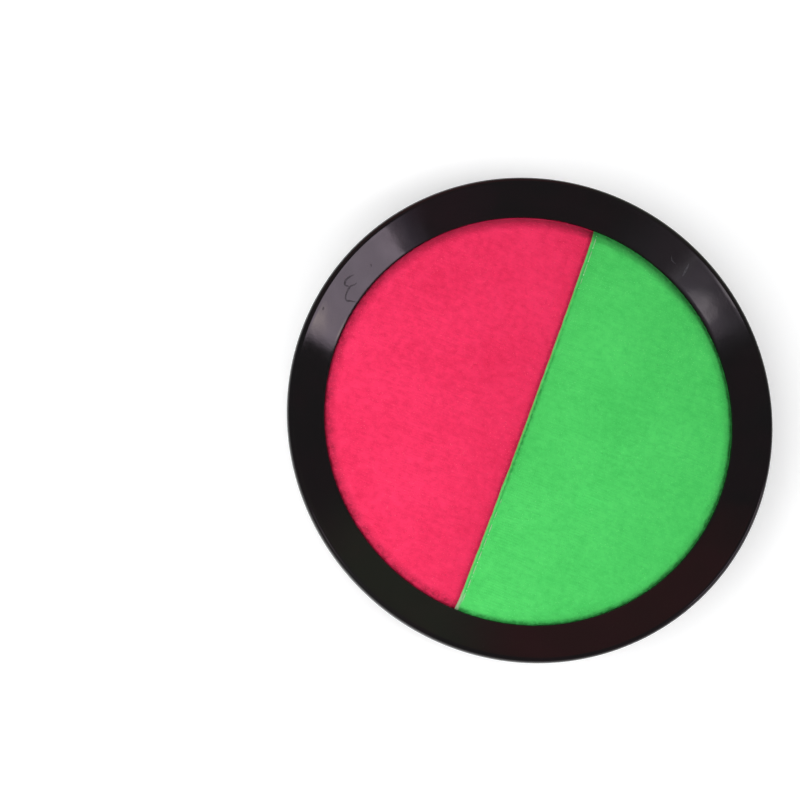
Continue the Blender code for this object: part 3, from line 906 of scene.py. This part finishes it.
back_cloth = build_back_cloth(cloth)
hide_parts("back_cloth")
left_path, right_path = strap_path(-1, STRAP_LEFT_LEVEL), strap_path(1, STRAP_RIGHT_LEVEL)
left = build_band("webbing_left", left_path, STRAP_THICKNESS, STRAP_WIDTH, webbing, 0.008, 71)
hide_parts("strap_left")
right = build_band("webbing_right", right_path, STRAP_THICKNESS, STRAP_WIDTH, webbing, 0.008, 72)
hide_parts("strap_right")


def patch_path(level):
    x = np.linspace(-PATCH_LENGTH / 2, PATCH_LENGTH / 2, 30)
    return np.stack([x, np.full(30, level)], axis=-1)


loop_patch = build_band("tape_loops", patch_path(LOOP_LEVEL), PATCH_THICKNESS, PATCH_WIDTH, loops, 0.02, 73)
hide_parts("loop_patch")
hook_patch = build_band("tape_hooks", patch_path(HOOK_LEVEL), PATCH_THICKNESS, PATCH_WIDTH, hooks, 0.01, 74)
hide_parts("hook_patch")


def under(path):
    """Height of the strap's lower face at an x."""
    order = np.argsort(path[:, 0])
    return lambda x: np.interp(x, path[order, 0], path[order, 1]) - STRAP_THICKNESS / 2


def strap_stitches(name, runs):
    return stitch_mesh(name, [(run, 0.16 * MM, -1.0) for run in runs], 0.2 * MM, black_thread, 2.8 * MM, 0.8)


tab_in, tab_out = STRAP_REACH - STRAP_TAB + 1.5 * MM, STRAP_REACH - 2.2 * MM
tab_half = STRAP_WIDTH / 2 - 3 * MM
patch_out, patch_half = PATCH_LENGTH / 2 - 1.5 * MM, PATCH_WIDTH / 2 - 1.5 * MM
left_runs = box_run(-tab_out, -tab_in, tab_half, under(left_path))
left_runs += box_run(-patch_out, patch_out, patch_half, under(left_path), cross=False)
right_runs = box_run(tab_in, tab_out, tab_half, under(right_path))
left_stitches = strap_stitches("stitches_left", left_runs)
right_stitches = strap_stitches("stitches_right", right_runs)

for node, material in (("foam_pad", foam("foam_grey", (0.30, 0.30, 0.31))),
                       ("backing_board", plain_board("board_dark", (0.05, 0.05, 0.05)))):
    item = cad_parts[node]
    item.data.materials.clear()
    item.data.materials.append(material)


# Camera: it looks at the point AIM from DISTANCE, and shows it at the pixel PAN

FRAME = 800                     # the photograph's width and height in pixels
FOCAL = 3079.7                  # focal length in those pixels
PAN = (525.8, 423.3)
AZIMUTH, ELEVATION, ROLL = math.radians(-24.62), math.radians(75.06), math.radians(45.62)
DISTANCE = 1.2
AIM = Vector((0, 0, 0.012))
SENSOR = 36.0                   # its width in millimetres


def camera_axes():
    toward = Vector((math.sin(AZIMUTH) * math.cos(ELEVATION), -math.cos(AZIMUTH) * math.cos(ELEVATION),
                     math.sin(ELEVATION)))
    across = Vector((0, 0, 1)).cross(toward).normalized()
    up = toward.cross(across)
    right = across * math.cos(ROLL) + up * math.sin(ROLL)
    above = up * math.cos(ROLL) - across * math.sin(ROLL)
    base = Matrix((right, above, toward)).transposed()
    ray = Vector(((PAN[0] - FRAME / 2) / FOCAL, -(PAN[1] - FRAME / 2) / FOCAL, -1.0)).normalized()
    turn = Vector((0, 0, -1)).rotation_difference(ray).to_matrix()
    return toward, base @ turn.transposed()


toward, axes = camera_axes()
camera = bpy.data.objects.new("camera", bpy.data.cameras.new("camera"))
camera.data.sensor_width = SENSOR
camera.data.lens = FOCAL / FRAME * SENSOR
camera.data.clip_start, camera.data.clip_end = 0.01, 50.0
camera.matrix_world = Matrix.Translation(AIM + toward * DISTANCE) @ axes.to_4x4()
bpy.context.scene.collection.objects.link(camera)
bpy.context.scene.camera = camera


# Floor, world and lights

def make_floor():
    s = Shader("floor_pale", Roughness=0.9, Specular_IOR_Level=0.1)
    soft = s.noise(3.0, 2.0)
    s.set("Base_Color", s.mix(s.spread(soft, 0.3, 0.7), (0.80, 0.80, 0.80), (0.82, 0.82, 0.82)))
    path = s.add("ShaderNodeLightPath").outputs
    seen = s.math("ADD", path["Is Camera Ray"], path["Is Glossy Ray"])
    seen = s.math("ADD", seen, path["Is Transmission Ray"], clamp=True)
    s.set("Emission_Color", (1.0, 1.0, 1.0))
    away = s.add("ShaderNodeVectorMath", {"operation": "LENGTH"}, i0=s.place).outputs["Value"]
    s.set("Emission_Strength", s.math("MULTIPLY", seen, s.spread(away, 0.35, 1.6, 0.34, 1.0)))
    mesh = bpy.data.meshes.new("floor")
    far = 6.0
    mesh.from_pydata([(-far, -far, 0), (far, -far, 0), (far, far, 0), (-far, far, 0)], [], [(0, 1, 2, 3)])
    mesh.materials.append(s.material)
    floor = bpy.data.objects.new("floor", mesh)
    bpy.context.scene.collection.objects.link(floor)


def make_world():
    world = bpy.data.worlds.new("studio")
    bpy.context.scene.world = world
    world.use_nodes = True
    n = Nodes(world.node_tree, "ShaderNodeTexCoord", "Generated")
    ramp = n.add("ShaderNodeValToRGB", i0=n.add("ShaderNodeSeparateXYZ", i0=n.place).outputs["Z"])
    n.put(n.tree.nodes["Background"].inputs["Color"], ramp.outputs[0])
    low, high = ramp.color_ramp.elements
    low.position, low.color = 0.14, (0.98, 0.98, 0.98, 1)
    high.position, high.color = 0.36, (0.10, 0.10, 0.105, 1)


def softbox(name, direction, size, power, distance=1.6):
    """A lamp that faces the paddle, with its own X level and its own Y up."""
    data = bpy.data.lights.new(name, "AREA")
    data.shape = "RECTANGLE"
    data.size, data.size_y = size
    data.energy = power
    way = Vector(direction).normalized()
    side = Vector((0, 0, 1)).cross(way).normalized()
    up = way.cross(side)
    lamp = bpy.data.objects.new(name, data)
    lamp.matrix_world = Matrix.Translation(way * distance) @ Matrix((side, up, way)).transposed().to_4x4()
    lamp.visible_camera = False
    bpy.context.scene.collection.objects.link(lamp)
    return lamp, side, up


def panel(name, direction, size, patches, spots=()):
    """A studio panel seen in the gloss alone: patches of light in its plane, each with its colour.

    A patch lies inside its edges; an edge is the angle of its outward normal, its distance from
    the middle and its softness. A spot is round: its middle and the radii between which it fades."""
    lamp, side, up = softbox(name, direction, size, math.pi * size[0] * size[1])
    lamp.visible_diffuse = False
    lamp.data.use_nodes = True
    n = Nodes(lamp.data.node_tree, "ShaderNodeNewGeometry", "Position")
    light = (0.0, 0.0, 0.0)
    for color, edges in patches:
        inside = 1.0
        for angle, offset, soft in edges:
            angle = math.radians(angle)
            normal = side * math.cos(angle) + up * math.sin(angle)
            out = n.add("ShaderNodeVectorMath", {"operation": "DOT_PRODUCT"}, i0=n.place, i1=normal)
            edge = n.spread(out.outputs["Value"], offset - soft / 2, offset + soft / 2, 1.0, 0.0)
            inside = n.math("MULTIPLY", inside, edge)
        light = n.mix(inside, light, color, "ADD")
    for color, (u, v), (inner, outer) in spots:
        middle = lamp.matrix_world.translation + side * u + up * v
        away = n.add("ShaderNodeVectorMath", {"operation": "DISTANCE"}, i0=n.place, i1=middle)
        light = n.mix(n.spread(away.outputs["Value"], inner, outer, 1.0, 0.0), light, color, "ADD")
    cloudy = n.spread(n.noise(9.0, 2.0), 0.35, 0.65, 0.92, 1.06)
    emission = n.tree.nodes["Emission"]
    n.tree.links.new(light, emission.inputs["Color"])
    n.tree.links.new(cloudy, emission.inputs["Strength"])


KEY_WAY, FILL_WAY, LOW_WAY = (0.728, 0.062, 0.683), (-0.31, -0.315, 0.897), (-0.10, 0.80, 0.58)

make_floor()
make_world()

# The highlight on the left of the ring: its body, its fading end, a faint glow, and two soft spots
key_top = (66.7, 0.215, 0.01)
key_patches = [
    ((3.2, 2.65, 3.2), [(146.4, 0.298, 0.016), (-7.5, 0.332, 0.085), (-111.2, 0.070, 0.01), key_top]),
    ((0.42, 0.36, 0.50), [(146.4, 0.44, 0.18), (-33.6, -0.303, 0.02), (-111.2, 0.075, 0.01), key_top]),
    ((0.07, 0.01, 0.03), [(146.4, 1.00, 0.40), (-7.5, -0.20, 0.30), (66.7, 0.60, 0.20)]),
]
key_spots = [((2.4, 2.00, 1.55), (0.237, -0.105), (0.02, 0.085)),
             ((0.5, 0.42, 0.46), (-0.25, 0.15), (0.0, 0.12))]
panel("key_right", KEY_WAY, (2.0, 1.2), key_patches, key_spots)

# The highlight on the right: three layers of its core, a bright part, two veils, a streak, a glow
fill_top, core_end, veil_end = (90.0, 0.17, 0.02), (180.0, 0.055, 0.03), (159.5, 0.118, 0.09)
veil_low = (-90.0, 0.05, 0.18)
core = [(-49.1, 0.059, 0.03), (-90.0, 0.028, 0.03), (-126.2, 0.020, 0.03), fill_top]
panel("fill_high", FILL_WAY, (1.8, 1.0), [
    ((0.95, 0.88, 0.92), core + [(0.0, 0.20, 0.04), core_end]),
    ((0.80, 0.72, 0.74), core + [(0.0, 0.09, 0.12), core_end]),
    ((0.60, 0.54, 0.57), core + [(0.0, 0.00, 0.08), core_end]),
    ((2.20, 2.00, 2.15), [(-111.5, -0.012, 0.02), (0.0, -0.055, 0.03), (180.0, 0.150, 0.04), fill_top]),
    ((0.50, 0.44, 0.54), [(21.4, 0.219, 0.016), veil_end, veil_low, fill_top]),
    ((0.35, 0.30, 0.36), [(21.4, 0.160, 0.110), veil_end, veil_low, fill_top]),
    ((0.95, 0.90, 0.98), [(201.4, -0.223, 0.014), (21.4, 0.250, 0.12), (-90.0, 0.05, 0.14), fill_top]),
    ((0.20, 0.18, 0.22), [(0.0, 0.52, 0.40), (180.0, 0.20, 0.20), (-90.0, 0.22, 0.20)]),
])

# The faint red and green of the ring's lower part
panel("glow_low", LOW_WAY, (3.6, 2.0), [
    ((0.24, 0.02, 0.02), [(180.0, 0.20, 0.30), (0.0, 1.10, 0.90)]),
    ((0.13, 0.17, 0.08), [(0.0, -0.25, 0.35), (180.0, 1.10, 0.50)]),
])

# The lamps that light the fabric, unseen in the gloss
key_soft, _, _ = softbox("key_soft", KEY_WAY, (0.9, 0.9), 15.0)
key_soft.visible_glossy = False
overhead, _, _ = softbox("overhead", (-0.40, -0.42, 0.82), (0.6, 0.6), 3.75, 0.6)
overhead.visible_glossy = False

bpy.context.scene.view_settings.view_transform = "Standard"


bpy.context.view_layer.update()
